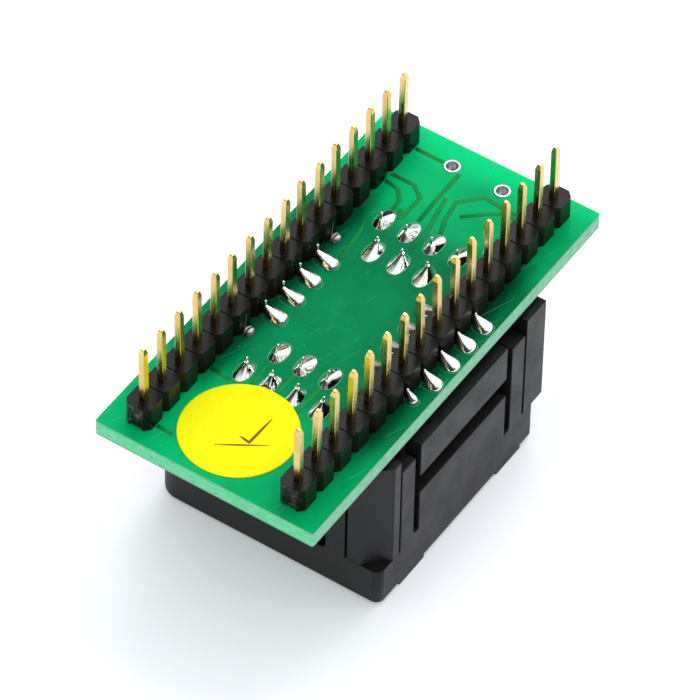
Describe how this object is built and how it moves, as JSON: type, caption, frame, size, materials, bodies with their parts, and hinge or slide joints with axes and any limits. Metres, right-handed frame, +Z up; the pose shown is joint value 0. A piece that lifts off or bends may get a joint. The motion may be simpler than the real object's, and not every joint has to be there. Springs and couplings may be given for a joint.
{
  "type": "plcc programming adapter",
  "caption": "Programming adapter: a green board with two rows of square pins on one face and a tall black chip-carrier socket with side contacts on the other.",
  "frame": {"origin": "centre of the object's box in plan, on the surface that the socket's mouth rests on", "axes": "+X along the pin rows towards the end with the two spare holes, +Y across the rows, +Z up out of the board along the pins"},
  "size_m": [0.0432, 0.0228, 0.0265],
  "materials": {
    "board_laminate": "bright green solder mask over glass laminate, pale fibrous edges",
    "strip_plastic": "moulded, satin black",
    "pin_gilt": "gold flash over brass, polished",
    "solder": "bright tin solder",
    "hole_plating": "tinned copper",
    "label_paper": "bright yellow self-adhesive label, satin",
    "socket_plastic": "moulded, fine matte black",
    "contact_metal": "stamped copper alloy, tinned"
  },
  "bodies": {
    "root": {"circuit_board": "board_laminate", "contact_frame": "socket_plastic", "contacts_far": "contact_metal", "contacts_left": "contact_metal", "contacts_near": "contact_metal", "contacts_right": "contact_metal", "header_pin_left_01": "pin_gilt", "header_pin_left_02": "pin_gilt", "header_pin_left_03": "pin_gilt", "header_pin_left_04": "pin_gilt", "header_pin_left_05": "pin_gilt", "header_pin_left_06": "pin_gilt", "header_pin_left_07": "pin_gilt", "header_pin_left_08": "pin_gilt", "header_pin_left_09": "pin_gilt", "header_pin_left_10": "pin_gilt", "header_pin_left_11": "pin_gilt", "header_pin_left_12": "pin_gilt", "header_pin_left_13": "pin_gilt", "header_pin_left_14": "pin_gilt", "header_pin_left_15": "pin_gilt", "header_pin_left_16": "pin_gilt", "header_pin_right_01": "pin_gilt", "header_pin_right_02": "pin_gilt", "header_pin_right_03": "pin_gilt", "header_pin_right_04": "pin_gilt", "header_pin_right_05": "pin_gilt", "header_pin_right_06": "pin_gilt", "header_pin_right_07": "pin_gilt", "header_pin_right_08": "pin_gilt", "header_pin_right_09": "pin_gilt", "header_pin_right_10": "pin_gilt", "header_pin_right_11": "pin_gilt", "header_pin_right_12": "pin_gilt", "header_pin_right_13": "pin_gilt", "header_pin_right_14": "pin_gilt", "header_pin_right_15": "pin_gilt", "header_pin_right_16": "pin_gilt", "header_strip_left": "strip_plastic", "header_strip_right": "strip_plastic", "inspection_label": "label_paper", "lead_joints_far": "solder", "lead_joints_left": "solder", "lead_joints_near": "solder", "lead_joints_right": "solder", "socket_base": "socket_plastic", "socket_cover": "socket_plastic", "spare_hole_ring_left": "hole_plating", "spare_hole_ring_right": "hole_plating", "tail_joints_left": "solder", "tail_joints_right": "solder", "via_caps": "solder"}
  },
  "joints": []
}
